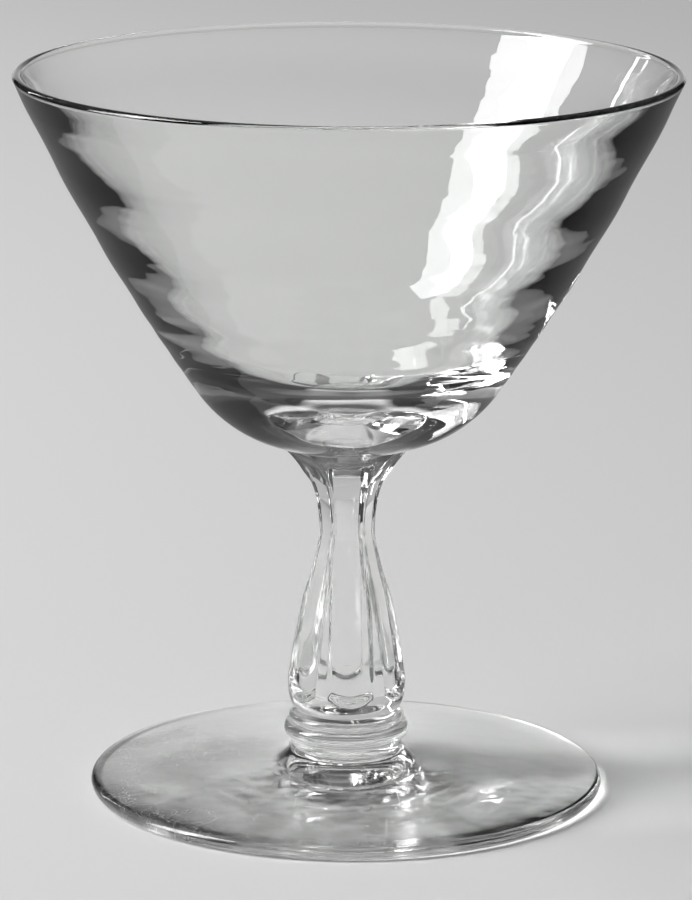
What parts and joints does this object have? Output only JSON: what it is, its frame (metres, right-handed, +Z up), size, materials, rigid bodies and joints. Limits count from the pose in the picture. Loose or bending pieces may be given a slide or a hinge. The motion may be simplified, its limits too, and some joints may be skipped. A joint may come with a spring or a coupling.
{
  "type": "sherbet glass",
  "caption": "Clear footed sherbet glass with a blown conical bowl, a pressed panelled stem, a ringed knop and a round foot.",
  "frame": {"origin": "centre of the plane that the foot rests on", "axes": "+Z up along the axis of the glass, from the foot to the rim; -Y faces the viewer of the picture"},
  "size_m": [0.098, 0.098, 0.1083],
  "materials": {
    "blown_glass": "clear, fire polished, with faint rings from blowing",
    "pressed_glass": "clear, fire polished over softened pressed edges",
    "foot_glass": "clear, fire polished, with light wear from use"
  },
  "bodies": {
    "root": {"bowl": "blown_glass", "stem": "pressed_glass", "ring_knop": "pressed_glass", "foot": "foot_glass"}
  },
  "joints": []
}
